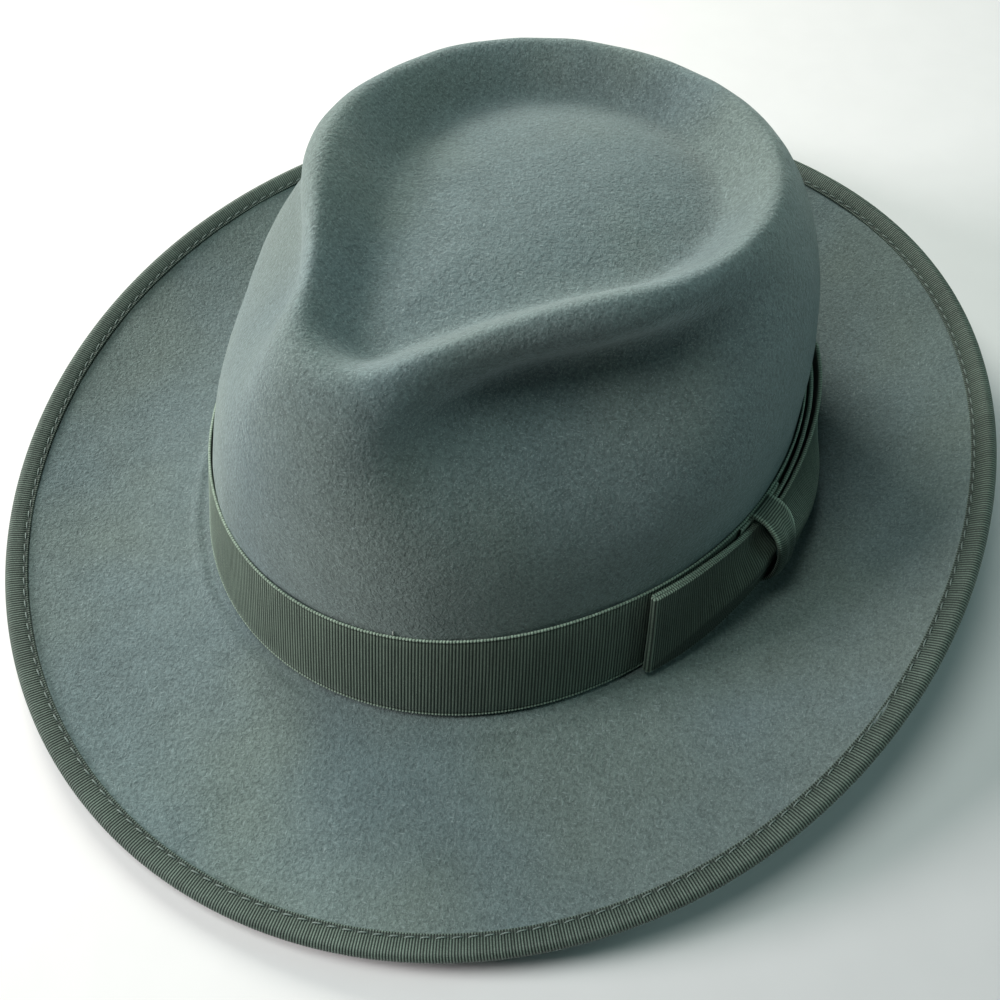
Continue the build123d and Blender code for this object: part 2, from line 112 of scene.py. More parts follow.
# Share of the tone left in the valleys between ribs: painted shade
BAND_VALLEY_PAINTED_SHADE = 0.25
SELVEDGE_WIDTH, SELVEDGE_PAINTED_HIGHLIGHT_WIDTH = 0.8, 0.6
TACK_ANGLES = (24.0, 150.0, 205.0, 300.0)
TACK_RISE, TACK_PROUD = 0.9, 0.25

BINDING_COVER = 4.6
BINDING_RIB_PITCH = 0.78
BINDING_RIB_DEPTH = 0.2
# Share of the tone left in the valleys between ribs: painted shade
BINDING_VALLEY_PAINTED_SHADE = 0.2
BINDING_SEAM_INSET = 0.95
BINDING_EDGE_PROUD = 0.68

# Stitches: length, radius of the thread, height of the arch; seams: pitch, slant, stitch
TACK_STITCH = (2.0, 0.17, 0.3)
BINDING_SEAM = (4.0, 0.10, (2.7, 0.21, 0.3))
SWEAT_SEAM = (3.4, 0.12, (2.2, 0.19, 0.3))

BOW_RIB_PITCH = 0.75
KNOT_ANGLE = 93.0
FRONT_FOLD_ANGLE = 67.5
REAR_FOLD_ANGLE = 134.0
# The loops of the bow: radius of the fold, how proud the ridge and the top are, lean of the fold
FRONT_LOOP = (0.85, 9.4, 2.9, 0.8)
REAR_LOOP = (1.9, 11.6, 4.0, 1.8)
LOOP_START_ANGLE = 0.6
LOOP_BACK_PROUD, LOOP_LEAST_PROUD, LOOP_RIDGE_FALL = 2.35, 2.2, 1.2
# Heights of a loop's lower and upper edge, at the knot and at the fold
LOOP_BOTTOM, LOOP_TOP = (11.5, 2.2), (28.0, 30.8)
LOOP_RIBBON = 29.0
KNOT_BOTTOM, KNOT_TOP, KNOT_PROUD = 8.0, 30.9, (1.8, 12.4)
KNOT_HALF_WIDTH, KNOT_GATHER, KNOT_DROOP, KNOT_RIBBON = 4.5, 0.9, 1.6, 8.8
WALL_PER_DEGREE = 1.62
LAP_HALF_ANGLE, LAP_INSET, LAP_PROUD, LAP_THICKNESS = 6.0, 0.5, 1.3, 0.3

SWEAT_BOTTOM = 1.4
SWEAT_TOP = 46.0
SWEAT_DEPTH = 3.3
LEATHER_THICKNESS = 0.95
SWEAT_FACE = -SWEAT_DEPTH - LEATHER_THICKNESS
SWEAT_SEAM_HEIGHT = 4.2
# Lines pressed into the leather: height, depth, spread
SWEAT_LINES = ((SWEAT_TOP - 4.2, 0.14, 0.45), (SWEAT_TOP - 5.6, 0.14, 0.45),
               (SWEAT_SEAM_HEIGHT, 0.22, 0.8))
REED_HEIGHT = 0.2
REED_RADIUS, REED_WRAPS, REED_WRAP_DEPTH = 1.0, 300, 0.07
TAPE_HEIGHTS = (2.6, 4.5, 6.5, 8.5, 10.0)
TAPE_OUTER_FACE, TAPE_INNER_FACE = -FELT_THICKNESS - 0.3, -FELT_THICKNESS - 0.75
SMALL_BOW_HEIGHT, SMALL_BOW_GAP, SMALL_BOW_RIB_PITCH = 12.0, 0.15, 0.7
SMALL_BOW_HALF_LENGTH, SMALL_BOW_HALF_WIDTH, SMALL_BOW_WAIST = 9.6, 3.0, 1.2
SMALL_TIE_HALF_LENGTH, SMALL_TIE_HALF_WIDTH = 2.5, 1.4

LINING_SEAM_RUN, LINING_SEAM_GAP, LINING_LAST_RUN = 0.59, 0.0005, 0.93
LINING_BACK, LINING_SIDE_THICKNESS, LINING_TIP_THICKNESS = -FELT_THICKNESS - 0.3, 0.35, 0.45
LINING_PLEATS, LINING_PLEAT_DEPTH = 72, 0.75
PIPING_DEPTH, PIPING_RADIUS, PIPING_WRAPS, PIPING_WRAP_DEPTH = 1.65, 1.0, 220, 0.05

# Lengths once round, along which the patterns of the felt, the tape and the inside are laid
FELT_ROUND, TAPE_ROUND, INSIDE_ROUND = 600, 580, 560

# Small steps of angle and run, by which directions over the felt are found
ANGLE_STEP, RUN_STEP = 0.05, 0.001
# The crown's side: its first run, and the height below which it goes straight down
WALL_TOP_RUN, WALL_FOOT = 0.6, 0.5

# --- hat formulas


def together(*values):
    return np.broadcast_arrays(*(np.asarray(value, float) for value in values))


def bell(value, centre, spread):
    return np.exp(-(((value - centre) / spread) ** 2))


def smooth(value):
    value = np.clip(value, 0, 1)
    return value * value * (3 - 2 * value)


def between(ends, share):
    return ends[0] + (ends[1] - ends[0]) * share


def soft_minimum(first, second, rounding):
    return (first + second - np.hypot(first - second, rounding)) / 2


def crease_distance(x, y):
    """Distance outwards from the teardrop outline of the crease's floor."""
    length = CREASE_REAR_Y - CREASE_FRONT_Y
    across = np.abs(x)
    along = y - CREASE_FRONT_Y
    lean = (CREASE_FRONT_RADIUS - CREASE_REAR_RADIUS) / length
    upright = math.sqrt(1 - lean * lean)
    side = along * upright - across * lean
    front = np.hypot(across, along) - CREASE_FRONT_RADIUS
    rear = np.hypot(across, along - length) - CREASE_REAR_RADIUS
    flank = across * upright + along * lean - CREASE_FRONT_RADIUS
    return np.where(side < 0, front, np.where(side > upright * length, rear, flank))


def crown_before_crease(angle, run):
    """The pinched dome, and how high the crease's own surface stands at the same place."""
    turn = np.radians(angle)
    climb = (1 - run) * math.pi / 2
    power = DOME_POWER
    size = (np.abs(np.cos(climb)) ** power + np.abs(np.sin(climb)) ** power) ** (-1 / power)
    reach = size * np.cos(climb)
    rise = size * np.sin(climb)
    narrowing = 1 - DOME_TAPER * rise
    x = BASE_HALF_WIDTH * np.sin(turn) * reach * narrowing
    y = DOME_SET_BACK * rise - BASE_HALF_LENGTH * np.cos(turn) * reach * narrowing
    x = x * (1 + DOME_BACK_FULLNESS * rise * y / 100)
    z = DOME_HEIGHT * rise * (1 - DOME_FRONT_RISE * y / 100)
    x = x * (1 - PINCH_SHARE * bell(y, PINCH_Y, PINCH_LENGTH) * bell(z, PINCH_HEIGHT, PINCH_RISE))
    hollow_centre = HOLLOW_HEIGHT + HOLLOW_TILT * (y - HOLLOW_Y)
    hollow = HOLLOW_SHARE + HOLLOW_LEFT_EXTRA * x / np.hypot(x, HOLLOW_BLEND)
    x = x * (1 - hollow * bell(y, HOLLOW_Y, HOLLOW_LENGTH) * bell(z, hollow_centre, HOLLOW_RISE))
    x = x * (1 + BELLY_SHARE * bell(y, BELLY_Y, BELLY_LENGTH) * bell(z, BELLY_HEIGHT, BELLY_RISE))
    fade = smooth((rise - NOSE_FADE_START) / NOSE_FADE_SPAN)
    z = z - NOSE_DIP * bell(x, 0, NOSE_HALF_WIDTH) * bell(y, NOSE_Y, NOSE_LENGTH) * fade
    floor = CREASE_FLOOR_HEIGHT + CREASE_FLOOR_PITCH * y - CREASE_FLOOR_DISHING * (x * x + y * y)
    outside = crease_distance(x, y)
    floor = floor + CREASE_FLOOR_SWELL * (1 - bell(np.minimum(outside, 0), 0, CREASE_SWELL_INSET))
    slope = CREASE_WALL_SLOPE + CREASE_WALL_STEEPENING * y / 100
    wall_height = floor + slope * (outside + np.hypot(outside, CREASE_FOOT_ROUNDING)) / 2
    return x, y, z, wall_height


def crown(angle, run):
    """The crown's outer face: run 0 is the middle of the top, run 1 the foot at the brim."""
    x, y, dome_height, wall_height = crown_before_crease(angle, run)
    return np.stack([x, y, soft_minimum(dome_height, wall_height, CREST_ROUNDING)], -1)


def brim(angle, reach):
    """The brim's upper face: reach 0 at the crown, reach 1 at the felt's cut edge."""
    turn = np.radians(angle)
    normal_x = BASE_HALF_LENGTH * np.sin(turn)
    normal_y = -BASE_HALF_WIDTH * np.cos(turn)
    length = np.hypot(normal_x, normal_y)
    slope = BRIM_MEAN_SLOPE + BRIM_SNAP * np.cos(turn) + BRIM_SIDE_ROLL * np.cos(2 * turn)
    slope = slope + BRIM_SNAP_DETAIL * np.cos(3 * turn)
    slope = slope + BRIM_LEFT_LIFT * np.sin(turn) + BRIM_TWIST * np.sin(2 * turn)
    step = BRIM_WIDTH * reach / BRIM_STEPS
    out = 0
    up = 0
    for number in range(BRIM_STEPS):
        here = reach * (number + 0.5) / BRIM_STEPS
        tilt = np.radians(slope + BRIM_CURL * (2 * here - 1))
        out = out + np.cos(tilt) * step
        up = up + np.sin(tilt) * step
    x = BASE_HALF_WIDTH * np.sin(turn) + normal_x / length * out
    y = -BASE_HALF_LENGTH * np.cos(turn) + normal_y / length * out
    return np.stack([x, y, up + 0 * x], -1)


def felt(angle, run):
    """The felt's outer face: runs up to 1 are the crown, runs from 1 to 2 the brim."""
    angle, run = together(angle, run)
    on_crown = (run <= 1)[..., None]
    return np.where(on_crown, crown(angle, np.minimum(run, 1)), brim(angle, np.maximum(run - 1, 0)))


def unit(vectors):
    return vectors / np.maximum(np.linalg.norm(vectors, axis=-1, keepdims=True), 1e-12)


def felt_normal(angle, run):
    angle, run = together(angle, run)
    backwards = (run <= 1) | (run > 1.5)
    low = np.where(backwards, run - RUN_STEP, run)
    around = felt(angle + ANGLE_STEP, run) - felt(angle - ANGLE_STEP, run)
    outward = felt(angle, low + RUN_STEP) - felt(angle, low)
    return unit(np.cross(outward, around))


def felt_off(angle, run, proud):
    angle, run, proud = together(angle, run, proud)
    return felt(angle, run) + felt_normal(angle, run) * proud[..., None]


def wall_run(angle, height):
    """The run where the crown's side is at a height above the brim, found by halving."""
    low = np.full(np.shape(angle), WALL_TOP_RUN)
    high = np.full(np.shape(angle), 1.0)
    halvings = 22
    for _ in range(halvings):
        middle = (low + high) / 2
        above = crown(angle, middle)[..., 2] > height
        low = np.where(above, middle, low)
        high = np.where(above, high, middle)
    return (low + high) / 2


def wall(angle, height, proud):
    """A point over the crown's side, by angle, height above the brim and distance outwards."""
    angle, height, proud = together(angle, height, proud)
    run = wall_run(angle, np.maximum(height, WALL_FOOT))
    base = crown(angle, run)
    points = base + felt_normal(angle, run) * proud[..., None]
    points[..., 2] += height - base[..., 2]
    return points


def to_world(points):
    sine, cosine = math.sin(REST_PITCH), math.cos(REST_PITCH)
    x = HAT_ORIGIN[0] + points[..., 0]
    y = HAT_ORIGIN[1] + points[..., 1] * cosine + points[..., 2] * sine
    z = HAT_ORIGIN[2] - points[..., 1] * sine + points[..., 2] * cosine
    return np.stack([x, y, z], -1) * MM


def turned_from(angle, centre):
    """Degrees round the hat from a direction, from -180 to 180."""
    return (angle - centre + 180) % 360 - 180


def ring(columns, length):
    """Even angles round the hat, and distances along a closed strip of this length."""
    share = np.arange(columns + 1) / columns
    return share[:-1] * 360, share * length


def whole_turn(count):
    """Even steps round one whole turn, in radians."""
    return np.arange(count) / count * math.tau


def travelled_along(points):
    """How far along a line of points each one lies."""
    return np.concatenate([[0], np.cumsum(np.linalg.norm(np.diff(points, axis=0), axis=1))])


def even_angles(curve, pitch, samples=1):
    """The angles of even steps along a closed curve, a whole number of pitches of so many
    samples each, and the curve's length."""
    fine = np.linspace(0, 360, 8 * 360 + 1)
    travelled = travelled_along(curve(fine))
    length = travelled[-1]
    count = round(length / pitch) * samples
    return np.interp(np.arange(count) / count * length, travelled, fine), length


def ripple(points, size, seed):
    """Smooth irregularity, mostly within -1 to 1, about size millimetres from swell to swell."""
    rng = np.random.default_rng(seed)
    total = np.zeros(points.shape[:-1])
    waves = 14
    for _ in range(waves):
        direction = unit(rng.normal(size=3))
        length = size * rng.uniform(0.7, 1.6)
        total += np.sin(points @ direction * (math.tau / length) + rng.uniform(0, math.tau))
    return total / math.sqrt(waves)


# --- mesh making


def add_object(name, data):
    made = bpy.data.objects.new(name, data)
    bpy.context.scene.collection.objects.link(made)
    return made


def grid_piece(name, points, lengthwise, across, material, close_rows=False, shade=None, parts=1,
               cap_ends=False):
    """A mesh from rows x columns of points. The columns close into a ring, or, with parts
    above 1, each block of rows is a separate open grid. lengthwise and across are the UVs.
    cap_ends closes both ends of a flattened tube, whose rows pair up first with last."""
    rows, cols = points.shape[:2]
    close_cols = len(lengthwise) == cols + 1
    block = rows // parts
    row = np.arange(block if close_rows else block - 1)
    col = np.arange(cols if close_cols else cols - 1)
    row, col = np.meshgrid(row, col, indexing="ij")
    corner_row = np.stack([row, row, row + 1, row + 1], -1).reshape(-1, 4)
    corner_col = np.stack([col, col + 1, col + 1, col], -1).reshape(-1, 4)
    corners = (corner_row % block) * cols + corner_col % cols
    starts = np.arange(parts)[:, None, None] * block * cols
    quads = (corners[None] + starts).reshape(-1, 4)
    uv = np.stack([lengthwise[corner_col], across[corner_row]], -1) * MM
    uv = np.broadcast_to(uv[None], (parts, *uv.shape)).reshape(-1, 4, 2)
    if cap_ends:
        pair = np.arange(block // 2 - 1)
        end = np.stack([pair, pair + 1, block - 2 - pair, block - 1 - pair], -1) * cols
        quads = np.concatenate([quads, end, (end + cols - 1)[:, ::-1]])
        uv = np.concatenate([uv, np.zeros((2 * len(pair), 4, 2))])
    world = to_world(points).reshape(-1, 3)
    a, b, c, d = (world[quads[:, k]] for k in range(4))
    if float((a * np.cross(b, c)).sum() + (a * np.cross(c, d)).sum()) < 0:
        quads = quads[:, ::-1]
        uv = uv[:, ::-1]
    mesh = bpy.data.meshes.new(name)
    mesh.vertices.add(len(world))
    mesh.vertices.foreach_set("co", world.astype(np.float32).ravel())
    mesh.loops.add(quads.size)
    mesh.loops.foreach_set("vertex_index", quads.astype(np.int32).ravel())
    mesh.polygons.add(len(quads))
    mesh.polygons.foreach_set("loop_start", np.arange(0, quads.size, 4, dtype=np.int32))
    layer = mesh.uv_layers.new(name="flat")
    layer.data.foreach_set("uv", np.ascontiguousarray(uv).astype(np.float32).ravel())
    tone = mesh.attributes.new("shade", "FLOAT", "POINT")
    values = np.ones(len(world)) if shade is None else np.broadcast_to(shade, (rows, cols)).ravel()
    tone.data.foreach_set("value", np.ascontiguousarray(values).astype(np.float32))
    mesh.update(calc_edges=True)
    mesh.shade_smooth()
    mesh.materials.append(material)
    return add_object(name, mesh)


def place(piece, slot, *nodes):
    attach(piece, "root")
    if nodes:
        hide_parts(*nodes)
    return piece


# --- materials


class Paint:
    """A small helper that adds nodes to one Principled material."""

    def __init__(self, name, roughness, sheen=0.0, sheen_roughness=0.5, sheen_tint=(1, 1, 1),
                 specular=0.3):
        self.material = bpy.data.materials.new(name)
        self.material.use_nodes = True
        self.tree = self.material.node_tree
        self.shader = self.tree.nodes["Principled BSDF"]
        self.fill(self.shader, Roughness=roughness, Specular_IOR_Level=specular, Sheen_Weight=sheen,
                  Sheen_Roughness=sheen_roughness, Sheen_Tint=sheen_tint)

    def join(self, source, socket):
        if isinstance(source, (int, float)):
            socket.default_value = source
        elif isinstance(source, tuple):
            socket.default_value = (*source, 1) if len(socket.default_value) == 4 else source
        elif source is not None:
            self.tree.links.new(source, socket)

    def fill(self, node, **sources):
        for name, source in sources.items():
            self.join(source, node.inputs[name.replace("_", " ")])
        return node

    def node(self, kind, **sources):
        """A new node, with values or other nodes' outputs put into its named inputs."""
        return self.fill(self.tree.nodes.new("ShaderNode" + kind), **sources)

    def place(self):
        return self.node("TexCoord").outputs["Object"]

    def flat(self):
        node = self.node("UVMap")
        node.uv_map = "flat"
        return node.outputs["UV"]

    def shade(self):
        node = self.node("Attribute")
        node.attribute_name = "shade"
        return node.outputs["Fac"]

    def stretch(self, vector, scale, turns=(0, 0, 0)):
        """The vector turned and then scaled, to run a pattern along one direction."""
        sizes = tuple(1 / size for size in scale)
        node = self.node("Mapping", Vector=vector, Rotation=turns, Scale=sizes)
        node.vector_type = "TEXTURE"
        return node.outputs["Vector"]

    def noise(self, vector, scale, detail=2.0, roughness=0.5, distortion=0.0):
        return self.node("TexNoise", Vector=vector, Scale=scale, Detail=detail, Roughness=roughness,
                         Distortion=distortion).outputs["Fac"]

    def cells(self, vector, scale):
        return self.node("TexVoronoi", Vector=vector, Scale=scale).outputs["Distance"]

    def math(self, kind, first, second):
        node = self.node("Math")
        node.operation = kind
        self.join(first, node.inputs[0])
        self.join(second, node.inputs[1])
        return node.outputs[0]

    def spread(self, value, low, high, out_low, out_high):
        node = self.node("MapRange", Value=value, From_Min=low, From_Max=high, To_Min=out_low,
                         To_Max=out_high)
        node.interpolation_type = "SMOOTHSTEP"
        return node.outputs["Result"]

    def vary(self, tone, value, amount, low=0.3, high=0.7):
        """The tone, raised or lowered by up to the amount as the value goes from low to high."""
        return self.math("ADD", tone, self.spread(value, low, high, -amount, amount))

    def mix(self, share, first, second):
        node = self.node("Mix")
        node.data_type = "RGBA"
        # The share is input 0, and the two colours are inputs 6 and 7
        for socket, source in ((0, share), (6, first), (7, second)):
            self.join(source, node.inputs[socket])
        return node.outputs[2]

    def scaled(self, colour, value):
        """The colour times a value."""
        node = self.node("VectorMath")
        node.operation = "SCALE"
        self.join(colour, node.inputs[0])
        self.join(value, node.inputs["Scale"])
        return node.outputs[0]

    def bump(self, height, strength, distance, below=None):
        return self.node("Bump", Strength=strength, Distance=distance, Height=height,
                         Normal=below).outputs["Normal"]

    def finish(self, colour, normal=None, roughness=None):
        self.fill(self.shader, Base_Color=colour, Normal=normal, Roughness=roughness)
        return self.material


def felt_material():
    """Brushed fur felt: drifting tone, soft mottling, fine specks and a matt bloom."""
    paint = Paint("fur_felt", 0.93, sheen=0.35, sheen_roughness=0.55, sheen_tint=(0.75, 0.86, 0.85),
                  specular=0.12)
    where = paint.place()
    drift = paint.noise(where, 16)
    patches = paint.noise(where, 130, 3, 0.55)
    clumps = paint.noise(where, 850, 2, 0.6, 0.4)
    nap = paint.noise(where, 1500, 3, 0.65)
    bluer, greener = (0.100, 0.139, 0.142), (0.108, 0.143, 0.132)
    colour = paint.mix(paint.spread(drift, 0.35, 0.65, 0, 1), bluer, greener)
    tone = paint.vary(1.0, patches, 0.05)
    tone = paint.vary(tone, clumps, 0.15)
    tone = paint.vary(tone, nap, 0.22, 0.25, 0.75)
    tone = paint.math("MULTIPLY", tone, paint.shade())
    hairs = None
    for turns in ((0, 0, 0.5), (0.9, 0, 2.1), (0, 1.1, 1.2), (0.4, 2.2, 0)):
        strand = paint.noise(paint.stretch(where, (520, 2700, 2700), turns), 1, 1)
        hairs = strand if hairs is None else paint.math("MAXIMUM", hairs, strand)
    lit = paint.spread(hairs, 0.62, 0.80, 0, 0.55)
    hair_colour = (0.27, 0.34, 0.34)
    colour = paint.mix(lit, paint.scaled(colour, tone), hair_colour)
    relief = paint.bump(patches, 0.25, 0.0006)
    relief = paint.bump(clumps, 0.7, 0.0006, relief)
    relief = paint.bump(nap, 0.6, 0.00018, relief)
    relief = paint.bump(hairs, 0.6, 0.00025, relief)
    return paint.finish(colour, relief)


def grosgrain_material(name, colour, light, sheen):
    """Ribbed ribbon: the ribs are in the mesh, the crossing threads in the bump. The shade attribute mixes
    from the dark colour to the light one: painted light and shade.
    """
    paint = Paint(name, 0.62, sheen=sheen, sheen_roughness=0.35, sheen_tint=(0.8, 0.95, 0.85))
    flat = paint.flat()
    threads = paint.noise(paint.stretch(flat, (900, 4200, 1)), 1, 2, 0.6)
    slub = paint.noise(paint.stretch(flat, (900, 60, 1)), 1, 1)
    drift = paint.noise(paint.place(), 45)
    tone = paint.vary(1.0, threads, 0.22)
    tone = paint.vary(tone, slub, 0.12)
    tone = paint.vary(tone, drift, 0.08)
    base = paint.mix(paint.spread(paint.shade(), 0.35, 1.6, 0, 1), colour, light)
    return paint.finish(paint.scaled(base, tone), paint.bump(threads, 0.5, 0.00012))


def thread_material(name, colour):
    paint = Paint(name, 0.6, sheen=0.2, sheen_roughness=0.4, specular=0.35)
    twist = paint.noise(paint.place(), 2500, 2, 0.6)
    tone = paint.spread(twist, 0.3, 0.7, 0.75, 1.2)
    return paint.finish(paint.scaled(colour, tone), paint.bump(twist, 0.5, 0.0001))


def leather_material(name, colour, worn):
    paint = Paint(name, 0.42, specular=0.45)
    where = paint.place()
    pores = paint.cells(where, 1100)
    creases = paint.noise(where, 420, 4, 0.6, 0.6)
    drift = paint.noise(where, 30, 3)
    base = paint.mix(paint.spread(drift, 0.35, 0.65, 0, 1), colour, worn)
    tone = paint.math("ADD", paint.spread(pores, 0.05, 0.6, -0.15, 0.08), 1.0)
    tone = paint.math("MULTIPLY", tone, paint.shade())
    rough = paint.spread(creases, 0.3, 0.7, 0.36, 0.52)
    relief = paint.bump(pores, 0.35, 0.00015)
    relief = paint.bump(creases, 0.3, 0.0003, relief)
    return paint.finish(paint.scaled(base, tone), relief, rough)


def satin_material(name, colour, roughness=0.34):
    paint = Paint(name, roughness, sheen=0.25, sheen_roughness=0.3, sheen_tint=(1, 0.95, 0.85),
                  specular=0.5)
    weave = paint.noise(paint.stretch(paint.flat(), (6500, 1100, 1)), 1, 2, 0.6)
    drift = paint.noise(paint.place(), 38)
    tone = paint.vary(1.0, weave, 0.07)
    tone = paint.vary(tone, drift, 0.05)
    return paint.finish(paint.scaled(colour, tone), paint.bump(weave, 0.25, 0.00008))


def tape_material():
    paint = Paint("tape_cloth", 0.85, sheen=0.1)
    flat = paint.flat()
    warp = paint.noise(paint.stretch(flat, (2200, 600, 1)), 1)
    weft = paint.noise(paint.stretch(flat, (600, 2200, 1)), 1)
    tone = paint.math("ADD", paint.math("MULTIPLY", warp, 0.7), paint.math("MULTIPLY", weft, 0.7))
    return paint.finish(paint.scaled((0.05, 0.05, 0.045), tone), paint.bump(tone, 0.5, 0.0001))


def floor_material():
    paint = Paint("pale_floor", 0.9, specular=0.1)
    grain = paint.noise(paint.place(), 60, 3)
    tone = paint.spread(grain, 0.3, 0.7, 0.985, 1.0)
    return paint.finish(paint.scaled((0.80, 0.80, 0.80), tone))


FELT = felt_material()
# Each ribbon's two colours are a shaded and a lit copy, mixed by painted light and shade
BAND = grosgrain_material("band_grosgrain", (0.020, 0.034, 0.025), (0.290, 0.380, 0.300), 0.3)
BINDING = grosgrain_material("binding_grosgrain", (0.010, 0.019, 0.015), (0.220, 0.298, 0.245), 0.2)
BINDING_THREAD = thread_material("binding_thread", (0.16, 0.21, 0.19))
TACK_THREAD = thread_material("tack_thread", (0.42, 0.46, 0.42))
LEATHER = leather_material("sweat_leather", (0.15, 0.070, 0.033), (0.19, 0.092, 0.045))
REED = leather_material("reed_cord", (0.10, 0.048, 0.024), (0.13, 0.062, 0.03))
TAPE = tape_material()
SATIN = satin_material("lining_satin", (0.42, 0.36, 0.24))
PIPING = satin_material("piping_satin", (0.20, 0.13, 0.06), 0.4)

# --- felt body


def felt_relief(points, angle, run):
    """The small unevenness of hand-blocked felt, and the soft ridge pressed up outside the band."""
    relief = sum(height * ripple(points, size, seed) for height, size, seed in FELT_SWELLS)
    out = (run - 1) * BRIM_WIDTH
    ridge = sum(height * bell(out, centre, spread) for height, centre, spread in FOOT_RIDGES)
    strength = RIDGE_LEAST + (1 - RIDGE_LEAST) * bell(turned_from(angle, RIDGE_ANGLE), 0, RIDGE_SPREAD)
    return relief + np.where(run > 1, ridge * strength, 0)


def painted_felt_light(angle, run):
    """Painted light on the felt: a painted highlight on its crest and on two sides of the brim, and painted
    shade in its hollows.
    """
    x, y, dome_height, wall_height = crown_before_crease(angle, np.minimum(run, 1.0))
    crest = bell(dome_height - wall_height, 0, CREST_SPREAD)
    hollow = bell(y, HOLLOW_Y, HOLLOW_LENGTH) * bell(dome_height, HOLLOW_HEIGHT - 6.0, HOLLOW_RISE * 1.5)
    on_crown = smooth((1.0 - run) / CROWN_PAINTED_LIGHT_FADE)
    on_brim = smooth((run - 1.0) / BRIM_PAINTED_LIGHT_FADE)
    # Painted highlight on the crest, and painted shade in the hollow
    crown_painted_light = CREST_PAINTED_HIGHLIGHT * crest - HOLLOW_PAINTED_SHADE * hollow * (1 - crest)
    # Painted light on the brim's front and on the wearer's left
    brim_painted_light = sum(more * bell(turned_from(angle, side), 0, spread) for more, side, spread in BRIM_PAINTED_LIGHT)
    return 1 + on_crown * crown_painted_light + on_brim * brim_painted_light


def make_felt():
    angle, lengthwise = ring(720, FELT_ROUND)
    crown_runs = np.concatenate([
        np.linspace(0.006, 0.30, 34, endpoint=False),
        np.linspace(0.30, 0.60, 74, endpoint=False),
        np.linspace(0.60, 1.0, 52),
    ])
    brim_reaches = np.concatenate([np.linspace(0.008, 0.16, 18, endpoint=False), np.linspace(0.16, 1, 56)])
    runs = np.concatenate([crown_runs, 1 + brim_reaches])[:, None]
    outer = felt(angle, runs)
    normal = felt_normal(angle, runs)
    outer = outer + normal * felt_relief(outer, angle, runs)[..., None]
    inner = felt_off(angle, runs[::-2], FELT_INNER_FACE)
    middles = [np.broadcast_to(face.mean(0), (1, len(angle), 3)) for face in (outer[0], inner[-1])]
    points = np.concatenate([middles[0], outer, inner, middles[1]])
    across = np.arange(len(points)) * 1.0
    # The outer face carries the painted highlight, painted shade and painted light in its shade attribute
    outer_painted_light = painted_felt_light(angle, runs)
    tone = np.ones(points.shape[:2])
    tone[1:1 + len(outer_painted_light)] = outer_painted_light
    piece = grid_piece("felt", points, lengthwise, across, FELT, shade=tone)
    return place(piece, "fur_felt", "felt_body")


# --- ribbons round the hat


def rib_profile(phase):
    """One rounded rib per whole number of phase, with a sharp valley between ribs."""
    return np.abs(np.sin(math.pi * phase)) ** 0.6


def painted_rib_light(rib, valley):
    """Painted light and shade of the ribs: ribs lighter, and the valleys between them keep only a share of
    the tone.
    """
    return valley + (1 - valley) * rib ** 2


def make_band():
    samples = 6
    angle, length = even_angles(lambda a: wall(a, BAND_MIDDLE, 0.5), BAND_RIB_PITCH, samples)
    rib = rib_profile(np.arange(len(angle)) / samples)
    # Rows over a woven edge: distance in from the edge, proud, share of the rib's depth, tone. The tone is
    # painted shade at the edge's foot and inside it, and a painted highlight on its beads
    selvedge = [(0.1, 0.1, 0.0, 0.5), (-0.15, 0.3, 0.6, 1.6), (-0.05, 0.6, 1.4, 2.2)]
    selvedge += [(0.35, 0.66, 1.4, 1.9), (0.7, 0.45, 0.5, 0.6)]
    rows = [(BAND_BOTTOM + inset, *rest) for inset, *rest in selvedge]
    for height in np.linspace(BAND_BOTTOM + 1.1, BAND_TOP - 1.1, 11):
        rows.append((height, RIBBON_THICKNESS, 1.0, 1.0))
    rows += [(BAND_TOP - inset, *rest) for inset, *rest in reversed(selvedge)]
    height, proud, depth, tone = (np.array(column)[:, None] for column in zip(*rows))
    points = wall(angle, height, proud + BAND_RIB_DEPTH * depth * rib)
    shade = tone * painted_rib_light(rib, BAND_VALLEY_PAINTED_SHADE)
    lengthwise = ring(len(angle), length)[1]
    across = np.append(height[:, 0], height[-1, 0])
    piece = grid_piece("band", points, lengthwise, across, BAND, close_rows=True, shade=shade)
    return place(piece, "band_grosgrain", "hat_band")


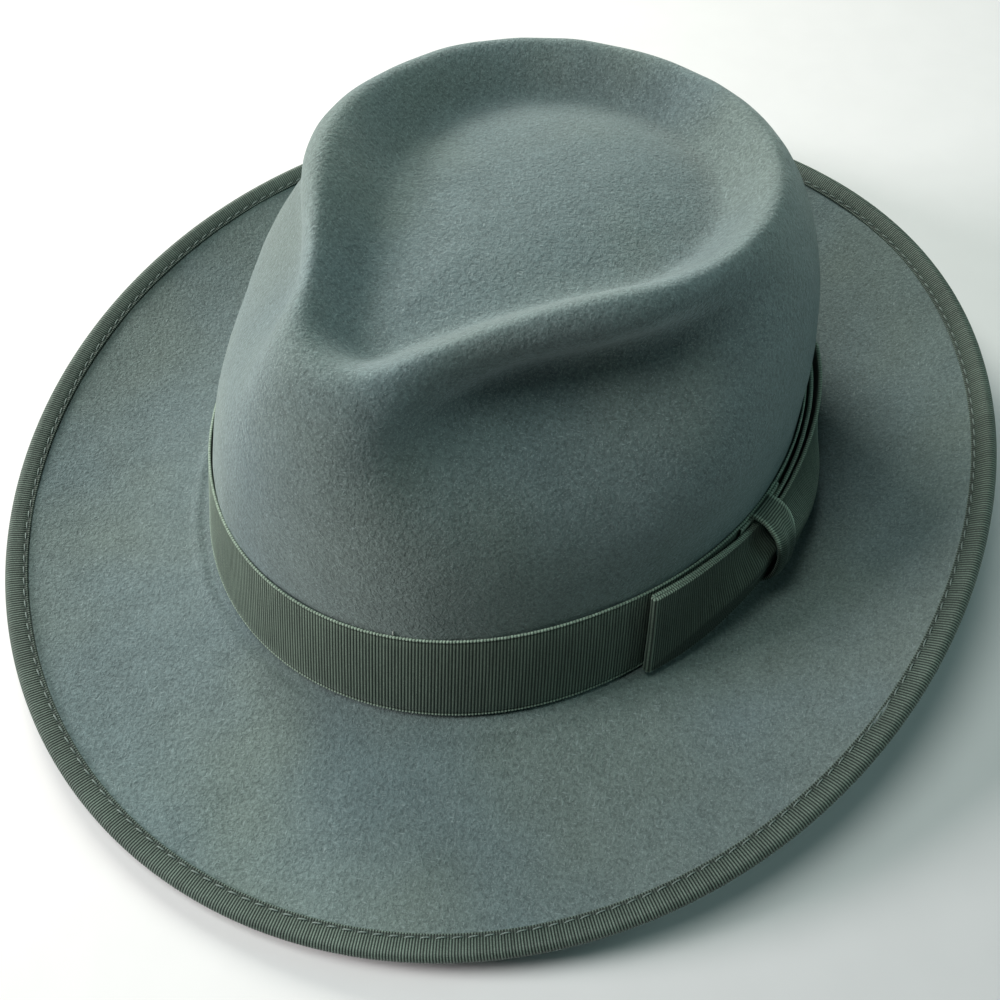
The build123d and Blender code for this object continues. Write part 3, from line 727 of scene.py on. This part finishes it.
def make_binding():
    """Ribbon folded over the brim's edge: its rows run in over the top, round and back below."""
    samples = 5
    angle, length = even_angles(lambda a: felt(a, 2.0), BINDING_RIB_PITCH, samples)
    rib = rib_profile(np.arange(len(angle)) / samples)
    rib_painted_light = painted_rib_light(rib, BINDING_VALLEY_PAINTED_SHADE)
    start = 2 - BINDING_COVER / BRIM_WIDTH
    radius = FELT_THICKNESS / 2
    edge = felt(angle, 2.0)
    normal = felt_normal(angle, 2.0)
    outward = unit(edge - felt(angle, 2 - RUN_STEP))
    centre = edge - normal * radius
    rows, shade, across = [], [], []

    def add(points, tone, position):
        rows.append(points)
        shade.append(tone * rib_painted_light)
        across.append(position)

    # Rows over one face: distance out from the ribbon's own edge, proud, share of the rib's
    # depth, tone. The tone is painted shade at the inner edge and by the seam, and a painted
    # highlight on the edge's bead and towards the fold
    face = [(-0.25, 0.05, 0.0, 0.4), (-0.15, 0.4, 0.8, 0.8), (0.1, 0.6, 1.3, 1.2)]
    face += [(0.4, 0.5, 0.7, 0.8), (BINDING_SEAM_INSET, 0.32, 0.7, 0.8), (1.4, 0.48, 1.0, 1.0)]
    face += [(2.0, 0.62, 1.0, 1.0), (3.0, 0.66, 1.0, 1.05), (4.2, 0.67, 1.0, 1.1)]
    for inset, proud, depth, tone in face:
        lift = proud + BINDING_RIB_DEPTH * depth * rib
        add(felt_off(angle, start + inset / BRIM_WIDTH, lift), tone, inset)
    reach = (radius + BINDING_EDGE_PROUD + BINDING_RIB_DEPTH * rib)[:, None]
    fold_radius, fold_length = 1.7, 5.0
    # The rolled edge is a little lighter: painted highlight
    for turn in range(0, 181, 20):
        swing = math.radians(turn)
        round_edge = centre + (normal * math.cos(swing) + outward * math.sin(swing)) * reach
        add(round_edge, 1.1, BINDING_COVER + fold_radius * swing)
    for inset, proud, depth, tone in reversed(face):
        lift = -FELT_THICKNESS - proud - BINDING_RIB_DEPTH * depth * rib
        position = 2 * BINDING_COVER + fold_length - inset
        add(felt_off(angle, start + inset / BRIM_WIDTH, lift), tone, position)
    across.append(across[-1])
    piece = grid_piece("binding", np.stack(rows), ring(len(angle), length)[1], np.array(across), BINDING,
                       close_rows=True, shade=np.stack(shade))
    return place(piece, "binding_grosgrain", "brim_binding")


# --- stitches


def stitch_mesh(name, centres, along, out, stitch, material):
    """Short lengths of two-ply thread whose ends sink into the work."""
    length, radius, arch = stitch
    stations, segments = 9, 8
    share = np.linspace(-1, 1, stations)
    swing = whole_turn(segments)
    thick = radius * np.sqrt(np.maximum(1 - share ** 6, 0.04))
    height = arch * (1 - share ** 2) - arch * 0.55
    lobes = 1 + 0.16 * np.cos(2 * (swing[None, :] - share[:, None] * 4.5))
    ring_out = thick[:, None] * lobes * np.cos(swing)
    ring_side = thick[:, None] * lobes * np.sin(swing)
    side = unit(np.cross(out, along))[:, None, None]
    points = centres[:, None, None] + along[:, None, None] * (share * length / 2)[:, None, None]
    points = points + out[:, None, None] * (height[:, None] + ring_out)[..., None]
    points = points + side * ring_side[..., None]
    count = len(centres)
    points = points.reshape(count * stations, segments, 3)
    return grid_piece(name, points, np.arange(segments + 1) * 0.1, np.arange(stations) * 0.3, material,
                      parts=count)


def seam(name, curve, out_at, pitch, slant, stitch, thread):
    """A row of stitches along a closed curve, each a little slanted."""
    angle = even_angles(curve, pitch)[0]
    along = unit(curve(angle + ANGLE_STEP) - curve(angle - ANGLE_STEP))
    out = out_at(angle)
    side = unit(np.cross(out, along))
    return stitch_mesh(name, curve(angle), unit(along + side * slant), out, stitch, thread)


def make_binding_stitches():
    run = 2 - (BINDING_COVER - BINDING_SEAM_INSET) / BRIM_WIDTH
    sides = (
        ("binding_seam_top", "binding_top_stitches", RIBBON_THICKNESS, 1),
        ("binding_seam_under", "binding_under_stitches", -FELT_THICKNESS - RIBBON_THICKNESS, -1),
    )
    for name, node, proud, facing in sides:
        piece = seam(name, lambda a: felt_off(a, run, proud), lambda a: facing * felt_normal(a, run),
                     *BINDING_SEAM, BINDING_THREAD)
        place(piece, "binding_thread", node)


def make_tacks():
    angle = np.array(TACK_ANGLES)
    centres = wall(angle, BAND_TOP + TACK_RISE, TACK_PROUD)
    up = unit(wall(angle, BAND_TOP + 2, TACK_PROUD) - wall(angle, BAND_TOP, TACK_PROUD))
    out = felt_normal(angle, wall_run(angle, BAND_TOP))
    piece = stitch_mesh("band_tacks_thread", centres, up, out, TACK_STITCH, TACK_THREAD)
    place(piece, "tack_thread", "band_tacks")


# --- bow


def ribbon_piece(name, middle, across, material, pitch, thickness=0.5, painted_shade=None):
    """A strip of ribbon with ribs across it, by true length along its middle. middle holds its
    points, lengthwise by across. The last argument, from 0 to 1 at each point, darkens it:
    painted shade. The ribs carry painted light and shade, and the edges a painted highlight."""
    samples = 6
    rows = middle.shape[1]
    travelled = travelled_along(middle[:, rows // 2])
    ribs = max(round(travelled[-1] / pitch), 1)
    wanted = np.arange(ribs * samples + 1) / samples / ribs * travelled[-1]
    flat = middle.reshape(len(middle), -1)
    even = np.stack([np.interp(wanted, travelled, flat[:, k]) for k in range(flat.shape[1])], -1)
    even = even.reshape(len(wanted), rows, 3)
    rib = rib_profile(np.arange(len(wanted)) / samples)[:, None]
    lengthwise_step = np.gradient(even, axis=0)
    across_step = np.gradient(even, axis=1)
    normal = unit(np.cross(lengthwise_step, across_step))
    edge = np.minimum(across, across[-1] - across)[None, :]
    depth = BAND_RIB_DEPTH * np.where(edge < SELVEDGE_WIDTH, 1.4, 1.0)
    # Painted highlight on the ribbon's edges, and painted light and shade on its ribs
    tone = np.where(edge < SELVEDGE_PAINTED_HIGHLIGHT_WIDTH, 1.8, 1.0) * painted_rib_light(rib, BAND_VALLEY_PAINTED_SHADE)
    if painted_shade is not None:
        columns = [np.interp(wanted, travelled, painted_shade[:, k]) for k in range(rows)]
        tone = tone * (1 - 0.75 * np.stack(columns, -1))
    lift = normal * (thickness / 2 + depth * rib)[..., None]
    points = np.concatenate([even + lift, (even - lift)[:, ::-1]], axis=1).transpose(1, 0, 2)
    shade = np.concatenate([tone, tone[:, ::-1]], axis=1).T
    position = np.concatenate([across, across[::-1] + across[-1] + 1, [2 * across[-1] + 2]])
    return grid_piece(name, points, wanted, position, material, close_rows=True, shade=shade, cap_ends=True)


def loop_strip(knot_angle, fold_angle, radius, ridge_proud, top_proud, fold_lean):
    """The folded ribbon of one side of the bow: from the knot along its outer side, round the
    fold, and back along the band. Its outer side swells to a ridge that runs from the fold's
    lower corner up to the knot, hollow above it and a little lower below it. Its outer side
    carries painted shade, deepest below the ridge."""
    turned = np.linspace(0, 60, 601)
    fine = knot_angle + (turned if fold_angle > knot_angle else -turned)
    travelled = travelled_along(wall(fine, BAND_MIDDLE, 2.0))
    length = float(np.interp(abs(fold_angle - knot_angle), turned, travelled))
    straight = length - radius
    width = np.linspace(0, 1, 49)
    flat = LOOP_BACK_PROUD + 2 * radius + fold_lean * (0.5 - width)
    distances, prouds, painted_shade = [], [], []
    for share in np.linspace(0, 1, 44, endpoint=False):
        open_share = smooth((1 - share) / 0.95) ** 0.8
        ridge = 0.36 * (1 - share ** 3) + 0.26 * (1 - share) ** 5 + 0.03
        above = np.clip((width - ridge) / (1 - ridge), 0, 1)
        below = np.clip((ridge - width) / ridge, 0, 1)
        standing = between((top_proud, ridge_proud), (1 - above) ** 1.8)
        standing = np.where(width < ridge, ridge_proud - LOOP_RIDGE_FALL * below, standing)
        softened = np.convolve(np.pad(standing, 3, "edge"), np.full(7, 1 / 7), "valid")
        pleat = 0.22 * np.sin(width * 21 + 1.0) * smooth(1 - 2.6 * share)
        distances.append(share * straight)
        prouds.append(between((flat, softened), open_share) + pleat)
        # Painted shade over the outer side, deepest below the ridge
        painted_shade.append(0.3 + 0.7 * smooth(2.4 * below))
    for turn in np.linspace(0, math.pi, 11):
        lean = fold_lean * (0.5 - width) * (1 + math.cos(turn)) / 2
        distances.append(straight + radius * math.sin(turn))
        prouds.append(LOOP_BACK_PROUD + radius + radius * math.cos(turn) + lean)
    for share in np.linspace(1, 0, 24)[1:]:
        distances.append(share * straight)
        prouds.append(LOOP_BACK_PROUD + 0 * width)
    painted_shade += [0 * width] * (len(distances) - len(painted_shade))
    distance = np.array(distances)[:, None]
    bottom = between(LOOP_BOTTOM, smooth(distance / length * 1.1) ** 0.9)
    top = between(LOOP_TOP, smooth(distance / length * 1.5))
    angle = np.interp(distance, travelled, fine)
    points = wall(angle, between((bottom, top), width), np.maximum(np.stack(prouds), LOOP_LEAST_PROUD))
    return points, width * LOOP_RIBBON, np.stack(painted_shade)


def make_loop(name, node, strip, shadow):
    points, across, painted_shade = strip
    # shadow scales the loop's painted shade
    piece = ribbon_piece(name, points, across, BAND, BOW_RIB_PITCH, painted_shade=shadow * painted_shade)
    place(piece, "band_grosgrain", node)


def make_bow():
    front = loop_strip(KNOT_ANGLE - LOOP_START_ANGLE, FRONT_FOLD_ANGLE, *FRONT_LOOP)
    rear = loop_strip(KNOT_ANGLE + LOOP_START_ANGLE, REAR_FOLD_ANGLE, *REAR_LOOP)
    make_loop("bow_loop_front", "bow_front_loop", front, 1.0)
    make_loop("bow_loop_rear", "bow_rear_loop", rear, 0.6)


def make_knot():
    """A ribbon wrapped round the middle of the bow, a little gathered across its face."""
    steps = 120
    swing = np.arange(steps + 1) / steps * math.tau - math.pi / 2
    climb = np.sin(swing)
    swell = np.clip(np.cos(swing), -0.04, 1)
    facing = np.clip(swell, 0, 1)[:, None]
    middle_height, half_height = (KNOT_BOTTOM + KNOT_TOP) / 2, (KNOT_TOP - KNOT_BOTTOM) / 2
    height = middle_height + half_height * (np.sign(climb) * np.abs(climb) ** 0.8)[:, None]
    height = height - KNOT_DROOP * facing ** 2
    proud = between(KNOT_PROUD, np.sign(swell) * np.abs(swell) ** 0.9)
    width = np.linspace(-1, 1, 17)
    front = smooth(facing)
    half = KNOT_HALF_WIDTH - KNOT_GATHER * front * bell((height - 20) / 12, 0, 0.7)
    sag = front * (0.75 * width ** 2 + 0.25 * np.cos(width * 6.5))
    points = wall(KNOT_ANGLE + half * width / WALL_PER_DEGREE, height, proud[:, None] - sag)
    across = (width + 1) / 2 * KNOT_RIBBON
    # Painted shade on the lower part of the knot's face
    painted_shade = smooth((27.0 - height) / 7) * front + 0 * width
    piece = ribbon_piece("bow_knot_ribbon", points, across, BAND, BOW_RIB_PITCH, painted_shade=painted_shade)
    place(piece, "band_grosgrain", "bow_knot")


def make_lap():
    """The band's free end, turned under, where it laps over its start behind the bow."""
    angle = np.linspace(KNOT_ANGLE - LAP_HALF_ANGLE, KNOT_ANGLE + LAP_HALF_ANGLE, 60)[:, None]
    across = np.linspace(0, 1, 15) * (BAND_TOP - BAND_BOTTOM - 2 * LAP_INSET)
    points = wall(angle, BAND_BOTTOM + LAP_INSET + across, LAP_PROUD)
    piece = ribbon_piece("band_lap_end", points, across, BAND, BAND_RIB_PITCH, LAP_THICKNESS)
    place(piece, "band_grosgrain", "band_lap")


# --- inside


def make_sweatband():
    angle, lengthwise = ring(900, INSIDE_ROUND)
    seam_groove = bell(angle, 180.0, 0.25)
    # Rows up the face and down the back: height, proud, tone. The tone is painted shade on the turned bottom
    # edge, in the pressed lines and down the back, and a painted highlight on the rolled top edge
    profile = [(SWEAT_BOTTOM + 0.4, -SWEAT_DEPTH, 0.8), (SWEAT_BOTTOM, SWEAT_FACE + 0.5, 0.8)]
    profile += [(SWEAT_BOTTOM + 0.5, SWEAT_FACE + 0.05, 0.85)]
    for height in np.linspace(3, SWEAT_TOP - 1.2, 40):
        pressed = sum(depth * bell(height, line, spread) for line, depth, spread in SWEAT_LINES)
        profile.append((height, SWEAT_FACE + pressed, 1.0 - 0.8 * pressed))
    profile += [(SWEAT_TOP - 0.4, SWEAT_FACE + 0.1, 1.1), (SWEAT_TOP, SWEAT_FACE + 0.5, 0.9)]
    profile += [(height, -SWEAT_DEPTH, 0.8) for height in (SWEAT_TOP - 0.4, 32, 20, 10)]
    rows, tones, across = [], [], []
    for height, proud, tone in profile:
        loose = smooth((height - 12) / 34) * 0.35
        wave = loose * (np.sin(np.radians(angle) * 7 + 0.6) + 0.6 * np.sin(np.radians(angle) * 13))
        rows.append(wall(angle, height, proud - np.maximum(wave, -0.2) + 0.3 * seam_groove))
        # Painted shade in the seam's groove
        tones.append(tone * (1 - 0.35 * seam_groove))
        across.append(height)
    across.append(across[-1])
    piece = grid_piece("sweatband_leather", np.stack(rows), lengthwise, np.array(across), LEATHER,
                       close_rows=True, shade=np.stack(tones))
    place(piece, "sweat_leather", "sweatband")


def bead(name, centre, out, up, radius, material, wraps, wrap_depth):
    """A round bead along a closed line, with wraps turns of a covering wound round it."""
    columns, segments = len(centre), 12
    swing = whole_turn(segments)
    size = radius * (1 + wrap_depth * np.cos(whole_turn(columns)[None] * wraps + swing[:, None]))
    points = centre[None] + (out[None] * np.cos(swing)[:, None, None]
                             + up[None] * np.sin(swing)[:, None, None]) * size[..., None]
    return grid_piece(name, points, np.arange(columns + 1) * 0.5, np.arange(segments + 1) * 0.5, material,
                      close_rows=True)


def make_reed():
    angle = ring(2400, INSIDE_ROUND)[0]
    centre = wall(angle, REED_HEIGHT, -SWEAT_DEPTH - LEATHER_THICKNESS / 2)
    out = felt_normal(angle, wall_run(angle, WALL_FOOT))
    up = np.array([0.0, 0.0, 1.0])
    piece = bead("reed_bead", centre, out, up, REED_RADIUS, REED, REED_WRAPS, REED_WRAP_DEPTH)
    place(piece, "reed_cord", "sweatband_reed")


def make_tape():
    angle, lengthwise = ring(720, TAPE_ROUND)
    rows = [wall(angle, height, TAPE_OUTER_FACE) for height in TAPE_HEIGHTS]
    rows += [wall(angle, height, TAPE_INNER_FACE) for height in reversed(TAPE_HEIGHTS)]
    across = np.array([*TAPE_HEIGHTS, *reversed(TAPE_HEIGHTS), TAPE_HEIGHTS[0]])
    piece = grid_piece("reed_tape_cloth", np.stack(rows), lengthwise, across, TAPE, close_rows=True)
    place(piece, "tape_cloth", "reed_tape")


def make_sweatband_stitches():
    piece = seam("sweatband_seam", lambda a: wall(a, SWEAT_SEAM_HEIGHT, SWEAT_FACE - 0.02),
                 lambda a: -felt_normal(a, wall_run(a, SWEAT_SEAM_HEIGHT)), *SWEAT_SEAM, TACK_THREAD)
    place(piece, "tack_thread", "sweatband_stitches")


def make_small_bow():
    """The little flat bow sewn over the sweatband's seam at the back of the head."""
    middle = wall(np.array([180.0]), SMALL_BOW_HEIGHT, SWEAT_FACE - SMALL_BOW_GAP)[0]
    sideways, backwards, upwards = np.eye(3)
    width = np.linspace(-1, 1, 9)[:, None]
    spots = []
    for share in np.linspace(0, 1, 70):
        x = SMALL_BOW_HALF_LENGTH * math.sin(share * math.tau)
        depth = 0.7 + 1.3 * math.sin(share * math.pi) ** 2 if abs(x) > 1.2 else 0.9 + share
        half = SMALL_BOW_HALF_WIDTH - SMALL_BOW_WAIST * math.exp(-((x / 2.2) ** 2))
        spots.append(middle + sideways * x - backwards * depth + upwards * half * width)
    across = width[:, 0] + 1
    loops = ribbon_piece("small_bow_loops", np.array(spots), across * SMALL_BOW_HALF_WIDTH, BINDING,
                         SMALL_BOW_RIB_PITCH, 0.35)
    place(loops, "binding_grosgrain", "sweatband_bow")
    tie = []
    for share in np.linspace(0, 1, 40):
        swing = share * math.tau
        height = SMALL_TIE_HALF_LENGTH * math.sin(swing)
        depth = 1.35 - 0.95 * math.cos(swing)
        tie.append(middle + upwards * height - backwards * depth + sideways * SMALL_TIE_HALF_WIDTH * width)
    knot = ribbon_piece("small_bow_tie", np.array(tie), across * SMALL_TIE_HALF_WIDTH, BINDING,
                        SMALL_BOW_RIB_PITCH, 0.3)
    place(knot, "binding_grosgrain")


def make_lining_side():
    """The pleated side of the lining, from its seam with the tip down behind the sweatband."""
    angle, lengthwise = ring(1440, INSIDE_ROUND)
    turn = np.radians(angle)
    pleats = 0.5 + 0.5 * np.cos(turn * LINING_PLEATS + 1.2 * np.sin(turn * 5))
    runs = np.linspace(LINING_SEAM_RUN + LINING_SEAM_GAP, LINING_LAST_RUN, 46)
    rows = []
    for run in runs:
        gather = smooth((0.82 - run) / 0.2)
        depth = LINING_SIDE_THICKNESS + LINING_PLEAT_DEPTH * gather * pleats ** 2
        rows.append(felt_off(angle, run, LINING_BACK - depth))
    rows += [felt_off(angle, run, LINING_BACK) for run in runs[::-4]]
    across = np.arange(len(rows) + 1) * 2.0
    side = grid_piece("lining_side_satin", np.stack(rows), lengthwise, across, SATIN, close_rows=True)
    place(side, "lining_satin", "lining_side")


def make_lining_tip():
    angle, lengthwise = ring(720, INSIDE_ROUND)
    runs = np.linspace(0.02, LINING_SEAM_RUN - LINING_SEAM_GAP, 70)
    rows = [felt_off(angle, run, LINING_BACK - LINING_TIP_THICKNESS) for run in runs]
    rows += [felt_off(angle, run, LINING_BACK) for run in runs[::-4]]
    middles = [np.broadcast_to(row.mean(0), row.shape) for row in (rows[0], rows[-1])]
    points = np.stack([middles[0], *rows, middles[1]])
    tip = grid_piece("lining_tip_satin", points, lengthwise, np.arange(len(points)) * 1.5, SATIN)
    place(tip, "lining_satin", "lining_tip")


def make_piping():
    """The covered cord over the seam between the lining's side and tip."""
    angle = ring(1440, INSIDE_ROUND)[0]
    run = LINING_SEAM_RUN
    centre = felt_off(angle, run, LINING_BACK - PIPING_DEPTH)
    normal = felt_normal(angle, run)
    along = unit(felt(angle, run + RUN_STEP) - felt(angle, run))
    piece = bead("lining_piping_cord", centre, normal, along, PIPING_RADIUS, PIPING, PIPING_WRAPS,
                 PIPING_WRAP_DEPTH)
    place(piece, "piping_satin", "lining_piping")


make_felt()
make_band()
make_binding()
make_binding_stitches()
make_tacks()
make_bow()
make_knot()
make_lap()
make_sweatband()
make_reed()
make_tape()
make_sweatband_stitches()
make_small_bow()
make_lining_side()
make_lining_tip()
make_piping()

# --- floor, light and camera

FLOOR_HALF = 3.0
FLOOR_HEIGHT = -0.0006
LIGHT_AIM = (0, 0, 0.05)

floor_mesh = bpy.data.meshes.new("floor")
corners = [(x * FLOOR_HALF, y * FLOOR_HALF, FLOOR_HEIGHT) for x, y in ((-1, -1), (1, -1), (1, 1), (-1, 1))]
floor_mesh.from_pydata(corners, [], [(0, 1, 2, 3)])
floor_mesh.materials.append(floor_material())
floor = add_object("floor", floor_mesh)


def area_light(name, place_at, size, power, colour):
    light = bpy.data.lights.new(name, "AREA")
    light.shape = "DISK"
    light.size = size
    light.energy = power
    light.color = colour
    lamp = add_object(name, light)
    lamp.location = place_at
    lamp.rotation_euler = (Vector(LIGHT_AIM) - Vector(place_at)).to_track_quat("-Z", "Y").to_euler()


area_light("key", (-0.77, -0.77, 0.56), 0.45, 12.4, (1.0, 0.93, 0.94))
area_light("side", (-0.97, 0.42, 0.56), 0.45, 13.0, (1.0, 0.97, 0.90))
area_light("fill", (0.77, 0.77, 0.56), 0.5, 2.8, (0.66, 1.0, 0.97))
area_light("top", (-0.13, -0.13, 0.73), 0.4, 2.6, (0.92, 1.0, 0.96))

world = bpy.data.worlds.new("studio")
world.use_nodes = True
background = world.node_tree.nodes["Background"].inputs
background["Color"].default_value = (0.60, 0.97, 1.0, 1)
background["Strength"].default_value = 0.03
bpy.context.scene.world = world
bpy.context.scene.view_settings.view_transform = "Standard"

CAMERA_AZIMUTH = math.radians(40.68)
CAMERA_ELEVATION = math.radians(54.06)
CAMERA_ROLL = math.radians(-1.72)
CAMERA_OFFSET = (-1.08, -17.74, 349.0)
CAMERA_LENS = 38.04


def make_camera():
    a, e = CAMERA_AZIMUTH, CAMERA_ELEVATION
    back = np.array([math.sin(a) * math.cos(e), -math.cos(a) * math.cos(e), math.sin(e)])
    right = np.array([math.cos(a), math.sin(a), 0.0])
    up = np.cross(back, right)
    cosine, sine = math.cos(CAMERA_ROLL), math.sin(CAMERA_ROLL)
    right, up = right * cosine + up * sine, up * cosine - right * sine
    axes = np.stack([right, up, back])
    matrix = np.eye(4)
    matrix[:3, :3] = unit(to_world(axes) - to_world(np.zeros(3))).T
    matrix[:3, 3] = to_world(np.array(CAMERA_OFFSET) @ axes)
    data = bpy.data.cameras.new("camera")
    data.sensor_width = 36
    data.lens = CAMERA_LENS
    data.clip_start = 0.01
    data.clip_end = 20
    camera = add_object("camera", data)
    camera.matrix_world = Matrix(matrix)
    bpy.context.scene.camera = camera


make_camera()
